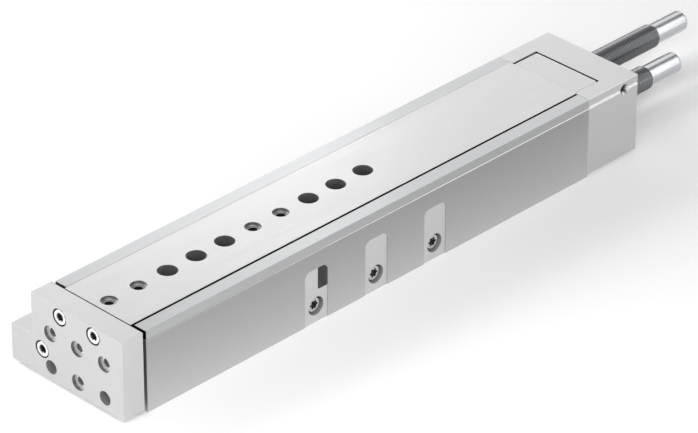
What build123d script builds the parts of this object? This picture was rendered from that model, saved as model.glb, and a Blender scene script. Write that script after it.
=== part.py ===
from build123d import *
import os

os.makedirs("parts", exist_ok=True)

# Pneumatic slide table, in millimetres, drawn with the slide drawn back.
# X runs along the stroke with the yoke at the front (-X), Y runs across with the
# cylinder on +Y, and Z stands up from the mounting face. The origin lies on that
# face, in the middle of the housing's length and of the slide's width.

# Clearances that every fit is made from
FIT = 0.05
RUNNING = 0.1
EDGE_BREAK = 0.5
LIGHT_BREAK = 0.3
STOP_GAP = 0.3

# Housing: an aluminium profile with a channel for the slide and an ear for the cylinder
STROKE = 200.0
HOUSING_LENGTH = 325.0
HOUSING_WALL = 3.4
CHANNEL_FLOOR = 29.0
RAIL_FOOT_RISE = 2.0
RIM_HEIGHT = 5.1
SLOT_HALF_WIDTH = 9.0
SLOT_FLOOR = 6.0
EAR_WIDTH = 16.1
EAR_TOP = 22.5
EAR_WALL = 2.0
LEDGE_CHAMFER = 0.6

# Slide and ball guide
SLIDE_THICKNESS = 19.2
SLIDE_HALF_WIDTH = 24.5
SLIDE_UNDERCUT = 0.5
SLIDE_LIP = 2.7
FLOOR_GAP = 0.5
RIM_GAP = 0.5
RACE_GAP = 1.8
RAIL_DROP = 0.6
RAIL_LEG_THICKNESS = 4.2
RAIL_LIP = 2.6
RAIL_EDGE_BREAK = 0.12
BALL_RADIUS = 2.5
BALL_DEPTH = 10.2
BALL_PITCH = 14.0
CAGE_THICKNESS = 1.2
CAGE_HEIGHT = 7.6
CAGE_END_MARGIN = 2.5

# Yoke plate
YOKE_THICKNESS = 14.0
YOKE_GAP = 2.5
YOKE_OVERHANG = 0.35
YOKE_EAR_OVERHANG = 0.25
YOKE_EAR_RISE = 0.7
YOKE_EDGE_BREAK = 0.2
YOKE_BOTTOM = 2.2
YOKE_PATTERN_Y = 20.0
YOKE_PATTERN_LOW_Z = 9.9
YOKE_PATTERN_RISE = 20.0
YOKE_THROUGH_RADIUS = 4.0

# Rear cover and the end block that moves in its pocket
COVER_LENGTH = 39.5
COVER_SETBACK = 0.1
COVER_DROP = 0.45
COVER_BOTTOM = 1.8
COVER_GROOVE_DEPTH = 0.9
COVER_GROOVE_HEIGHT = 2.0
PIN_HOLE_RADIUS = 1.6
PIN_SINK_RADIUS = 3.4
PIN_HOLE_DEPTH = 7.0
PIN_HOLE_FROM_REAR = 10.8
POCKET_DEPTH = 19.1
POCKET_CLEARANCE = 0.8
SLIDE_REAR_GAP = 0.7
END_BLOCK_INSET = 2.1
END_BLOCK_DROP = 0.9
END_BLOCK_LENGTH = 19.3
END_BLOCK_CORNER = 1.5
END_BLOCK_FOOT_HALF = 8.5
END_BLOCK_FOOT_GAP = 1.0

# Top hole row of the slide: groups that start with threaded centring holes, then access holes
HOLE_PITCH = 20.0
FIRST_HOLE = 6.0
HOLE_COUNT = 10
GROUP_COUNT = 5
CENTRING_COUNT = 2
ACCESS_RADIUS = 5.5
CENTRING_RADIUS = 4.5
CENTRING_DEPTH = 2.1
M6_TAP_RADIUS = 2.5
M6_DEPTH = 12.0
M6_CLEAR_RADIUS = 3.3
FLOOR_MOUNT_SEAT = 8.0

# Threads in the mounting face
BASE_PATTERN_X = 80.0
BASE_COLUMNS = 4
BASE_PATTERN_Y = 15.0
BASE_THREAD_DEPTH = 9.0

# Side pockets with their plugs, and the window beside the first plug
POCKET_PITCH = 43.8
POCKET_COUNT = 3
POCKET_WIDTH = 16.4
POCKET_TOP = 32.4
SIDE_POCKET_DEPTH = 0.4
POCKET_CORNER = 4.0
PLUG_Z = 9.6
PLUG_SINK_RADIUS = 5.4
PLUG_HEAD_RADIUS = 4.5
PLUG_HEAD_HEIGHT = 2.6
PLUG_HEAD_SUNK = 1.6
PLUG_SEAL_THICKNESS = 0.6
PLUG_THREAD_RADIUS = 3.5
PLUG_THREAD_LENGTH = 7.0
LOBE_DISTANCE = 2.0
LOBE_RADIUS = 0.75
SOCKET_DEPTH = 1.9
WINDOW_WIDTH = 6.8
WINDOW_BOTTOM = 19.1
WINDOW_DEPTH = 8.5
WINDOW_CORNER = 1.0

# Cylinder
BORE_RADIUS = 8.0
BORE_Z = 11.6
ROD_RADIUS = 4.0
ROD_TENON_RADIUS = 3.0
ROD_THREAD_DEPTH = 11.0
PISTON_LENGTH = 13.0
PISTON_RADIUS = 7.85
PISTON_WEB = 1.5
SEAL_WIDTH = 2.2
SEAL_ROOT_RADIUS = 5.8
MAGNET_WIDTH = 3.0
NUT_THICKNESS = 3.0
NUT_ACROSS_FLATS = 8.0
BUMPER_THICKNESS = 2.0
BUMPER_RADIUS = 6.8
PISTON_END_GAP = 0.6
CAP_LENGTH = 13.5
CAP_NOSE_LENGTH = 6.0
CAP_NOSE_RADIUS = 5.5
RING_THICKNESS = 1.0
RING_SETBACK = 0.4
RING_OVERSIZE = 0.6
O_RING_WIDTH = 2.0
ROD_SEAL_RADIUS = 6.0
WIPER_WIDTH = 2.5
AIR_RADIUS = 1.5
GALLERY_FROM_BORE = 10.5
GALLERY_Z = 5.5
M5_TAP_RADIUS = 2.1
PORT_DEPTH = 6.0
SENSOR_GROOVE_RADIUS = 1.8
SENSOR_MOUTH = 2.6
SENSOR_INSET = 2.2
SENSOR_EDGE = 2.7

# Shock absorbers: a threaded sleeve, a polished barrel behind it, a sprung plunger in front
SLEEVE_RADIUS = 7.0
SLEEVE_LENGTH = 90.2
SLEEVE_CHAMFER = 0.8
BARREL_RADIUS = 6.15
BARREL_LENGTH = 24.8
BARREL_NOSE = 1.8
PLUNGER_RADIUS = 2.0
PLUNGER_OUT = 9.0
PLUNGER_TRAVEL = 8.0
PLUNGER_IN = 10.0
ADVANCE_YZ = (0.0, 15.4)
ADVANCE_SLEEVE_SETBACK = 5.9
RETRACT_FROM_BORE = 13.0
RETRACT_Z = 17.8
RETRACT_SLEEVE_DEPTH = 11.1
RETRACT_THREAD_LENGTH = 18.0
STOP_ROD_RADIUS = 4.0
STOP_ROD_BORE_RADIUS = 4.5
STOP_BLOCK_LENGTH = 13.6
ROUND_NUT_RADIUS = 8.4
HEX_NUT_FLATS = 17.0
LOCK_NUT_THICKNESS = 4.5
PASSAGE_CLEARANCE = 0.6

# Fasteners
M5_RADIUS = 2.5
M5_HEAD_RADIUS = 4.35
M5_HEAD_HEIGHT = 5.0
M5_SINK_RADIUS = 5.0
M5_SINK_DEPTH = 5.2
M5_HEX = 4.0
M5_HEX_DEPTH = 2.5
M5_HEX_MOUTH_RADIUS = 2.6
M5_ENGAGE = 9.5
DOWEL_RADIUS = 2.0
DOWEL_LENGTH = 12.0
COUNTERSUNK_HEAD_RADIUS = 4.6
COUNTERSUNK_HEX = 3.0
YOKE_SCREW_Y = 12.4
YOKE_SCREW_DEPTH = 5.7
DOWEL_FROM_FLANK = 4.0
DOWEL_DEPTH = 10.7
END_SCREW_Y = 14.0
END_SCREW_DEPTH = 10.2
COVER_SCREW_INSET = 7.4
COVER_SCREW_FROM_SLOT = 5.5
COVER_SCREW_LOW_Z = 8.0
COVER_SCREW_HIGH_Z = 23.0
COVER_SCREW_TOP_Z = 25.0

# Stations along X and faces that several pieces share
HOUSING_FRONT = -HOUSING_LENGTH / 2
HOUSING_REAR = HOUSING_LENGTH / 2
YOKE_REAR = HOUSING_FRONT - YOKE_GAP
YOKE_FRONT = YOKE_REAR - YOKE_THICKNESS
SLIDE_REAR = HOUSING_REAR - SLIDE_REAR_GAP
COVER_REAR = HOUSING_REAR + COVER_LENGTH
POCKET_BACK = HOUSING_REAR + POCKET_DEPTH
SLIDE_BOTTOM = CHANNEL_FLOOR + FLOOR_GAP
SLIDE_TOP = SLIDE_BOTTOM + SLIDE_THICKNESS
SLIDE_WAIST_HALF = SLIDE_HALF_WIDTH - SLIDE_UNDERCUT
RAIL_TOP = SLIDE_TOP - RAIL_DROP
RAIL_FOOT_Z = CHANNEL_FLOOR + RAIL_FOOT_RISE
RAIL_LIP_Y = SLIDE_HALF_WIDTH + RIM_GAP
RAIL_RACE_Y = SLIDE_WAIST_HALF + RACE_GAP
RAIL_LEG_Y = RAIL_RACE_Y + RAIL_LEG_THICKNESS
BALL_Y = SLIDE_WAIST_HALF + RACE_GAP / 2
BALL_Z = SLIDE_TOP - BALL_DEPTH
RACE_RADIUS = BALL_RADIUS + RUNNING
CAGE_LENGTH = HOUSING_LENGTH - STROKE - 2 * CAGE_END_MARGIN
CAGE_X = (HOUSING_FRONT + SLIDE_REAR) / 2
BALL_COUNT = int((CAGE_LENGTH - 4 * BALL_RADIUS) / BALL_PITCH) + 1

WALL_TOP = RAIL_TOP - RIM_HEIGHT
HOUSING_HALF_WIDTH = RAIL_LEG_Y + HOUSING_WALL
EAR_OUTER_Y = HOUSING_HALF_WIDTH + EAR_WIDTH
YOKE_HALF_WIDTH = HOUSING_HALF_WIDTH + YOKE_OVERHANG
YOKE_EAR_OUTER_Y = EAR_OUTER_Y + YOKE_EAR_OVERHANG
YOKE_EAR_TOP = EAR_TOP + YOKE_EAR_RISE
YOKE_UPPER_Z = YOKE_PATTERN_LOW_Z + YOKE_PATTERN_RISE
COVER_HALF_WIDTH = HOUSING_HALF_WIDTH - COVER_SETBACK
COVER_TOP = SLIDE_TOP - COVER_DROP
END_BLOCK_HALF_WIDTH = SLIDE_HALF_WIDTH - END_BLOCK_INSET
POCKET_HALF_WIDTH = END_BLOCK_HALF_WIDTH + POCKET_CLEARANCE

END_BLOCK_REAR = SLIDE_REAR + END_BLOCK_LENGTH
END_BLOCK_TOP = SLIDE_TOP - END_BLOCK_DROP
END_BLOCK_FOOT_Z = SLOT_FLOOR + END_BLOCK_FOOT_GAP
ADVANCE_SLEEVE_FRONT = SLIDE_REAR - ADVANCE_SLEEVE_SETBACK
ADVANCE_TIP = ADVANCE_SLEEVE_FRONT - PLUNGER_OUT
STOP_BLOCK_REAR = ADVANCE_TIP - STOP_GAP - STROKE
STOP_BLOCK_FRONT = STOP_BLOCK_REAR - STOP_BLOCK_LENGTH
RETRACT_SLEEVE_FRONT = COVER_REAR - RETRACT_SLEEVE_DEPTH
RETRACT_TIP = RETRACT_SLEEVE_FRONT - PLUNGER_OUT
STOP_ROD_END = RETRACT_TIP - STOP_GAP

BORE_YZ = (EAR_OUTER_Y - EAR_WALL - BORE_RADIUS, BORE_Z)
GALLERY_YZ = (BORE_YZ[0] - GALLERY_FROM_BORE, GALLERY_Z)
RETRACT_YZ = (BORE_YZ[0] - RETRACT_FROM_BORE, RETRACT_Z)
CAP_FRONT = HOUSING_REAR - CAP_LENGTH
CAP_NOSE_FRONT = CAP_FRONT - CAP_NOSE_LENGTH
PISTON_REAR = CAP_NOSE_FRONT - PISTON_END_GAP - BUMPER_THICKNESS
PISTON_FRONT = PISTON_REAR - PISTON_LENGTH
GUIDE_NOSE_REAR = PISTON_FRONT - BUMPER_THICKNESS - STROKE - PISTON_END_GAP
GUIDE_REAR = GUIDE_NOSE_REAR - CAP_NOSE_LENGTH
RING_FRONT = HOUSING_FRONT + RING_SETBACK
GUIDE_FRONT = RING_FRONT + RING_THICKNESS
WIPER_REAR = GUIDE_FRONT + WIPER_WIDTH
ROD_SEAL_FRONT = WIPER_REAR + PISTON_WEB
ROD_SEAL_REAR = ROD_SEAL_FRONT + O_RING_WIDTH
GUIDE_O_RING_REAR = GUIDE_REAR - PISTON_WEB
GUIDE_O_RING_FRONT = GUIDE_O_RING_REAR - O_RING_WIDTH
CAP_O_RING_FRONT = (CAP_FRONT + HOUSING_REAR - O_RING_WIDTH) / 2
CAP_O_RING_REAR = CAP_O_RING_FRONT + O_RING_WIDTH
O_RING_OUTER = BORE_RADIUS - FIT
SEAL_FRONTS = (PISTON_FRONT + PISTON_WEB, PISTON_REAR - PISTON_WEB - SEAL_WIDTH)
MAGNET_FRONT = (PISTON_FRONT + PISTON_REAR - MAGNET_WIDTH) / 2
MAGNET_REAR = MAGNET_FRONT + MAGNET_WIDTH
NUT_RECESS_RADIUS = NUT_ACROSS_FLATS / 2 + PISTON_WEB / 2

HOLE_X = [HOUSING_FRONT + FIRST_HOLE + HOLE_PITCH * i for i in range(HOLE_COUNT)]
CENTRING_X = [x for i, x in enumerate(HOLE_X) if i % GROUP_COUNT < CENTRING_COUNT]
ACCESS_X = [x for x in HOLE_X if x not in CENTRING_X]
FLOOR_MOUNT_X = ACCESS_X[: GROUP_COUNT - CENTRING_COUNT]
POCKET_X = [POCKET_PITCH * (i - (POCKET_COUNT - 1) / 2) for i in range(POCKET_COUNT)]

YOKE_SCREW_PLACES = (
    (YOKE_SCREW_Y, SLIDE_TOP - YOKE_SCREW_DEPTH),
    (-YOKE_SCREW_Y, SLIDE_TOP - YOKE_SCREW_DEPTH),
    (-RETRACT_YZ[0], RETRACT_YZ[1]),
)
END_SCREW_PLACES = [(side * END_SCREW_Y, SLIDE_TOP - END_SCREW_DEPTH) for side in (1, -1)]
DOWEL_PLACES = [(side * (SLIDE_WAIST_HALF - DOWEL_FROM_FLANK), SLIDE_TOP - DOWEL_DEPTH) for side in (1, -1)]
COVER_SCREW_PLACES = (
    (COVER_SCREW_INSET - HOUSING_HALF_WIDTH, COVER_SCREW_LOW_Z),
    (COVER_SCREW_INSET - HOUSING_HALF_WIDTH, COVER_SCREW_HIGH_Z),
    (SLOT_HALF_WIDTH + COVER_SCREW_FROM_SLOT, COVER_SCREW_LOW_Z),
    (SLOT_HALF_WIDTH + COVER_SCREW_FROM_SLOT, COVER_SCREW_TOP_Z),
)

# Faces that holes and screws start from, each with its normal pointing out of the metal
SIDE_FACE = Plane((0, SIDE_POCKET_DEPTH - HOUSING_HALF_WIDTH, 0), x_dir=(1, 0, 0), z_dir=(0, -1, 0))
YOKE_FACE = Plane((YOKE_FRONT, 0, 0), x_dir=(0, -1, 0), z_dir=(-1, 0, 0))
COVER_FACE = Plane((COVER_REAR, 0, 0), x_dir=(0, 1, 0), z_dir=(1, 0, 0))
END_BLOCK_FACE = Plane((END_BLOCK_REAR, 0, 0), x_dir=(0, 1, 0), z_dir=(1, 0, 0))
BASE_FACE = Plane((0, 0, 0), x_dir=(1, 0, 0), z_dir=(0, 0, -1))


def bar(start, end, axis, radius, mode=Mode.ADD):
    """Round bar or bore along X from one station to another, about the line (y, z) = axis."""
    with BuildSketch(Plane.YZ.offset(start)) as disc:
        with Locations(axis):
            Circle(radius)
    extrude(disc.sketch, amount=end - start, mode=mode)


def ring(start, end, axis, outer, inner, mode=Mode.ADD):
    """Plain ring about a line along X: a seal, a magnet or a bumper, or the groove for one."""
    with BuildSketch(Plane.YZ.offset(start)) as washer:
        with Locations(axis):
            Circle(outer)
            Circle(inner, mode=Mode.SUBTRACT)
    extrude(washer.sketch, amount=end - start, mode=mode)


def cap_screw(length):
    """M5 socket cap screw: the head stands on Z = 0 and the shank points down."""
    with BuildPart() as screw:
        Cylinder(M5_HEAD_RADIUS, M5_HEAD_HEIGHT, align=(Align.CENTER, Align.CENTER, Align.MIN))
        chamfer(screw.edges().group_by(Axis.Z)[-1], LIGHT_BREAK)
        Cylinder(M5_RADIUS, length, align=(Align.CENTER, Align.CENTER, Align.MAX))
        with BuildSketch(Plane.XY.offset(M5_HEAD_HEIGHT)):
            RegularPolygon(M5_HEX / 2, 6, major_radius=False)
        extrude(amount=-M5_HEX_DEPTH, mode=Mode.SUBTRACT)
        with Locations((0, 0, M5_HEAD_HEIGHT)):
            mouth_depth = M5_HEX_MOUTH_RADIUS - M5_HEX / 2
            low_middle = (Align.CENTER, Align.CENTER, Align.MAX)
            Cone(M5_HEX / 2, M5_HEX_MOUTH_RADIUS, mouth_depth, align=low_middle, mode=Mode.SUBTRACT)
    return screw.part


def stepped_outline(half_width, bottom, top, ear_outer, ear_top):
    """Outline of the yoke or the cover seen along X: a block with the cylinder's ear on +Y."""
    with BuildLine() as outline:
        Polyline(
            (-half_width, bottom),
            (ear_outer, bottom),
            (ear_outer, ear_top),
            (half_width, ear_top),
            (half_width, top),
            (-half_width, top),
            close=True,
        )
    return outline.line


# Housing: one aluminium profile. The slide runs in its channel, the end block and the
# advance absorber in the slot below, and the cylinder is bored into the ear.
with BuildPart() as housing:
    with BuildSketch(Plane.YZ.offset(HOUSING_FRONT)):
        with BuildLine():
            Polyline(
                (-HOUSING_HALF_WIDTH, 0),
                (EAR_OUTER_Y, 0),
                (EAR_OUTER_Y, EAR_TOP),
                (HOUSING_HALF_WIDTH, EAR_TOP),
                (HOUSING_HALF_WIDTH, WALL_TOP),
                (RAIL_LEG_Y, WALL_TOP),
                (RAIL_LEG_Y, RAIL_FOOT_Z),
                (RAIL_RACE_Y, RAIL_FOOT_Z),
                (RAIL_RACE_Y, CHANNEL_FLOOR),
                (-RAIL_RACE_Y, CHANNEL_FLOOR),
                (-RAIL_RACE_Y, RAIL_FOOT_Z),
                (-RAIL_LEG_Y, RAIL_FOOT_Z),
                (-RAIL_LEG_Y, WALL_TOP),
                (-HOUSING_HALF_WIDTH, WALL_TOP),
                close=True,
            )
        make_face()
    extrude(amount=HOUSING_LENGTH)
    top_edges = housing.edges().filter_by(Axis.X).filter_by_position(Axis.Z, WALL_TOP, WALL_TOP)
    chamfer([e for e in top_edges if abs(e.center().Y) > RAIL_LEG_Y + LEDGE_CHAMFER], LEDGE_CHAMFER)
    ear_edge = housing.edges().filter_by(Axis.X).filter_by_position(Axis.Y, EAR_OUTER_Y, EAR_OUTER_Y)
    chamfer(ear_edge, EDGE_BREAK)

    # Slot for the end block and the advance absorber
    with BuildSketch(Plane.YZ.offset(STOP_BLOCK_FRONT)):
        with Locations((0, (SLOT_FLOOR + CHANNEL_FLOOR) / 2)):
            Rectangle(2 * SLOT_HALF_WIDTH, CHANNEL_FLOOR - SLOT_FLOOR)
    extrude(amount=HOUSING_REAR - STOP_BLOCK_FRONT, mode=Mode.SUBTRACT)

    # Cylinder bore, ring groove, stop rod bore and the air gallery of the front chamber
    bar(HOUSING_FRONT, HOUSING_REAR, BORE_YZ, BORE_RADIUS, Mode.SUBTRACT)
    bar(RING_FRONT, GUIDE_FRONT, BORE_YZ, BORE_RADIUS + RING_OVERSIZE, Mode.SUBTRACT)
    bar(HOUSING_FRONT, HOUSING_REAR, RETRACT_YZ, STOP_ROD_BORE_RADIUS, Mode.SUBTRACT)
    gallery_front = GUIDE_REAR + CAP_NOSE_LENGTH / 2
    bar(gallery_front - AIR_RADIUS, HOUSING_REAR, GALLERY_YZ, AIR_RADIUS, Mode.SUBTRACT)
    to_bore = (0, BORE_YZ[0] - GALLERY_YZ[0], BORE_Z - GALLERY_YZ[1])
    with BuildSketch(Plane((gallery_front, *GALLERY_YZ), z_dir=to_bore)):
        Circle(AIR_RADIUS - RUNNING)
    extrude(amount=to_bore[1] - BORE_RADIUS / 2, mode=Mode.SUBTRACT)

    # Threads for the cover screws
    for screw_axis in COVER_SCREW_PLACES:
        bar(HOUSING_REAR - M5_ENGAGE, HOUSING_REAR, screw_axis, M5_RADIUS + FIT, Mode.SUBTRACT)

    # Two grooves for position sensors along the outer face of the ear
    for groove_z in (SENSOR_EDGE, EAR_TOP - SENSOR_EDGE):
        with BuildSketch(Plane.YZ.offset(HOUSING_FRONT)):
            with Locations((EAR_OUTER_Y - SENSOR_INSET, groove_z)):
                Circle(SENSOR_GROOVE_RADIUS)
                Rectangle(2 * SENSOR_INSET, SENSOR_MOUTH, align=(Align.MIN, Align.CENTER))
        extrude(amount=HOUSING_LENGTH, mode=Mode.SUBTRACT)

    # Through holes under the access holes of the slide, and threads in the mounting face
    with Locations(*[(x, 0, CHANNEL_FLOOR) for x in FLOOR_MOUNT_X]):
        CounterBoreHole(M6_CLEAR_RADIUS, ACCESS_RADIUS, CHANNEL_FLOOR - FLOOR_MOUNT_SEAT, CHANNEL_FLOOR)
    with Locations(BASE_FACE):
        with GridLocations(BASE_PATTERN_X, 2 * BASE_PATTERN_Y, BASE_COLUMNS, 2):
            CounterBoreHole(M6_TAP_RADIUS, CENTRING_RADIUS, CENTRING_DEPTH, BASE_THREAD_DEPTH)

    # Countersunk hole for the stop block's screw
    with Locations(BASE_FACE):
        with Locations(((STOP_BLOCK_FRONT + STOP_BLOCK_REAR) / 2, 0)):
            CounterSinkHole(M5_RADIUS + RUNNING, COUNTERSUNK_HEAD_RADIUS + RUNNING, SLOT_FLOOR)

    # Shallow milled pockets on the near side, rounded at the top and open at the bottom edge
    with BuildSketch(SIDE_FACE):
        for x in POCKET_X:
            with BuildLine():
                FilletPolyline(
                    (x + POCKET_WIDTH / 2, 0),
                    (x + POCKET_WIDTH / 2, POCKET_TOP),
                    (x - POCKET_WIDTH / 2, POCKET_TOP),
                    (x - POCKET_WIDTH / 2, 0),
                    radius=POCKET_CORNER,
                )
                Line((x - POCKET_WIDTH / 2, 0), (x + POCKET_WIDTH / 2, 0))
            make_face()
    extrude(amount=SIDE_POCKET_DEPTH, mode=Mode.SUBTRACT)
    with Locations(SIDE_FACE):
        with Locations(*[(x, PLUG_Z) for x in POCKET_X]):
            sink = PLUG_HEAD_SUNK + PLUG_HEAD_HEIGHT + PLUG_SEAL_THICKNESS
            CounterBoreHole(PLUG_THREAD_RADIUS + FIT, PLUG_SINK_RADIUS, sink, sink + PLUG_THREAD_LENGTH)

    # Window beside the first plug, open to the foot of the rail
    with BuildSketch(SIDE_FACE):
        with Locations((POCKET_X[0] + POCKET_WIDTH / 2, WINDOW_BOTTOM)):
            Rectangle(WINDOW_WIDTH, POCKET_TOP - WINDOW_BOTTOM, align=(Align.MAX, Align.MIN))
        fillet(vertices().group_by(Axis.Y)[-1].sort_by(Axis.X)[-1], POCKET_CORNER)
        fillet(vertices().sort_by(Axis.X)[:2], WINDOW_CORNER)
    extrude(amount=-WINDOW_DEPTH, mode=Mode.SUBTRACT)
housing.part.label = "housing"
export_step(housing.part, "parts/housing.step")

# Guide rails: ground steel angles bonded to the walls. The top flange is the rim that shows
# beside the slide, and the leg carries the ball race.
for side_name, side in (("left", 1), ("right", -1)):
    with BuildPart() as rail:
        with BuildSketch(Plane.YZ.offset(HOUSING_FRONT)):
            with BuildLine():
                Polyline(
                    (side * RAIL_LIP_Y, RAIL_TOP),
                    (side * HOUSING_HALF_WIDTH, RAIL_TOP),
                    (side * HOUSING_HALF_WIDTH, WALL_TOP),
                    (side * (RAIL_LEG_Y - FIT), WALL_TOP),
                    (side * (RAIL_LEG_Y - FIT), RAIL_FOOT_Z),
                    (side * RAIL_RACE_Y, RAIL_FOOT_Z),
                    (side * RAIL_RACE_Y, RAIL_TOP - RAIL_LIP),
                    (side * RAIL_LIP_Y, RAIL_TOP - RAIL_LIP),
                    close=True,
                )
            make_face()
        extrude(amount=HOUSING_LENGTH)
        top_edges = rail.edges().filter_by(Axis.X).filter_by_position(Axis.Z, RAIL_TOP, RAIL_TOP)
        chamfer(top_edges, RAIL_EDGE_BREAK)
        bar(HOUSING_FRONT, HOUSING_REAR, (side * BALL_Y, BALL_Z), RACE_RADIUS, Mode.SUBTRACT)
    rail.part.label = f"guide_rail_{side_name}"
    export_step(rail.part, f"parts/guide_rail_{side_name}.step")

    # Ball cage: a brass strip with a round window for each ball
    with BuildPart() as cage:
        with BuildSketch(Plane.XZ.offset(-side * BALL_Y - CAGE_THICKNESS / 2)):
            with Locations((CAGE_X, BALL_Z)):
                SlotOverall(CAGE_LENGTH, CAGE_HEIGHT)
                with GridLocations(BALL_PITCH, 0, BALL_COUNT, 1):
                    Circle(RACE_RADIUS, mode=Mode.SUBTRACT)
        extrude(amount=CAGE_THICKNESS)
    cage.part.label = f"ball_cage_{side_name}"
    export_step(cage.part, f"parts/ball_cage_{side_name}.step")

    with BuildPart() as balls:
        with Locations((CAGE_X, side * BALL_Y, BALL_Z)):
            with GridLocations(BALL_PITCH, 0, BALL_COUNT, 1):
                Sphere(BALL_RADIUS)
    balls.part.label = f"guide_balls_{side_name}"
    export_step(balls.part, f"parts/guide_balls_{side_name}.step")

# Slide plate: ground aluminium with a ball race in each flank and the customer's hole row
with BuildPart() as slide_plate:
    with BuildSketch(Plane.YZ.offset(YOKE_REAR)):
        with BuildLine():
            Polyline(
                (-SLIDE_HALF_WIDTH, SLIDE_TOP),
                (SLIDE_HALF_WIDTH, SLIDE_TOP),
                (SLIDE_HALF_WIDTH, SLIDE_TOP - SLIDE_LIP),
                (SLIDE_WAIST_HALF, SLIDE_TOP - SLIDE_LIP),
                (SLIDE_WAIST_HALF, SLIDE_BOTTOM),
                (-SLIDE_WAIST_HALF, SLIDE_BOTTOM),
                (-SLIDE_WAIST_HALF, SLIDE_TOP - SLIDE_LIP),
                (-SLIDE_HALF_WIDTH, SLIDE_TOP - SLIDE_LIP),
                close=True,
            )
        make_face()
    extrude(amount=SLIDE_REAR - YOKE_REAR)
    top_edges = slide_plate.edges().filter_by_position(Axis.Z, SLIDE_TOP, SLIDE_TOP)
    chamfer(top_edges.sort_by(Axis.X)[:-1], LIGHT_BREAK)
    for side in (1, -1):
        bar(YOKE_REAR, SLIDE_REAR, (side * BALL_Y, BALL_Z), RACE_RADIUS, Mode.SUBTRACT)
    for screw_axis in YOKE_SCREW_PLACES[:2]:
        bar(YOKE_REAR, YOKE_REAR + M5_ENGAGE, screw_axis, M5_RADIUS + FIT, Mode.SUBTRACT)
    for screw_axis in END_SCREW_PLACES:
        bar(SLIDE_REAR - M5_ENGAGE, SLIDE_REAR, screw_axis, M5_RADIUS + FIT, Mode.SUBTRACT)
    for dowel_axis in DOWEL_PLACES:
        bar(YOKE_REAR, YOKE_REAR + DOWEL_LENGTH / 2, dowel_axis, DOWEL_RADIUS + FIT, Mode.SUBTRACT)
    with Locations(*[(x, 0, SLIDE_TOP) for x in CENTRING_X]):
        CounterBoreHole(M6_TAP_RADIUS, CENTRING_RADIUS, CENTRING_DEPTH, M6_DEPTH)
    with Locations(*[(x, 0, SLIDE_TOP) for x in ACCESS_X]):
        Hole(ACCESS_RADIUS, SLIDE_TOP - SLIDE_BOTTOM)
slide_plate.part.label = "slide_plate"
export_step(slide_plate.part, "parts/slide_plate.step")

# Yoke plate: ties the slide, the piston rod and the stop rod together at the front
with BuildPart() as yoke_plate:
    with BuildSketch(Plane.YZ.offset(YOKE_FRONT)):
        add(stepped_outline(YOKE_HALF_WIDTH, YOKE_BOTTOM, SLIDE_TOP, YOKE_EAR_OUTER_Y, YOKE_EAR_TOP))
        make_face()
    extrude(amount=YOKE_THICKNESS)
    chamfer(yoke_plate.faces().sort_by(Axis.X)[0].edges(), YOKE_EDGE_BREAK)
    with Locations(YOKE_FACE):
        with Locations(*YOKE_SCREW_PLACES):
            CounterBoreHole(M5_RADIUS + FIT, M5_SINK_RADIUS, M5_SINK_DEPTH, YOKE_THICKNESS)
        with Locations(*[(i * YOKE_PATTERN_Y, YOKE_UPPER_Z) for i in (-1, 0, 1)], (0, YOKE_PATTERN_LOW_Z)):
            CounterBoreHole(M6_TAP_RADIUS, CENTRING_RADIUS, CENTRING_DEPTH, M6_DEPTH)
        with Locations((-YOKE_PATTERN_Y, YOKE_PATTERN_LOW_Z), (YOKE_PATTERN_Y, YOKE_PATTERN_LOW_Z)):
            Hole(YOKE_THROUGH_RADIUS, YOKE_THICKNESS)
    bar(YOKE_REAR - ROD_THREAD_DEPTH, YOKE_REAR, BORE_YZ, ROD_RADIUS + FIT, Mode.SUBTRACT)
    for dowel_axis in DOWEL_PLACES:
        bar(YOKE_REAR - DOWEL_LENGTH / 2, YOKE_REAR, dowel_axis, DOWEL_RADIUS + FIT, Mode.SUBTRACT)
yoke_plate.part.label = "yoke_plate"
export_step(yoke_plate.part, "parts/yoke_plate.step")

yoke_screw = cap_screw(YOKE_THICKNESS - M5_SINK_DEPTH + M5_ENGAGE - STOP_GAP)
with BuildPart() as yoke_screws:
    with Locations(YOKE_FACE.offset(-M5_SINK_DEPTH)):
        with Locations(*YOKE_SCREW_PLACES):
            add(yoke_screw)
yoke_screws.part.label = "yoke_screws"
export_step(yoke_screws.part, "parts/yoke_screws.step")

with BuildPart() as yoke_dowels:
    dowel_half = DOWEL_LENGTH / 2 - FIT
    for dowel_axis in DOWEL_PLACES:
        bar(YOKE_REAR - dowel_half, YOKE_REAR + dowel_half, dowel_axis, DOWEL_RADIUS)
yoke_dowels.part.label = "yoke_dowels"
export_step(yoke_dowels.part, "parts/yoke_dowels.step")

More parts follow.
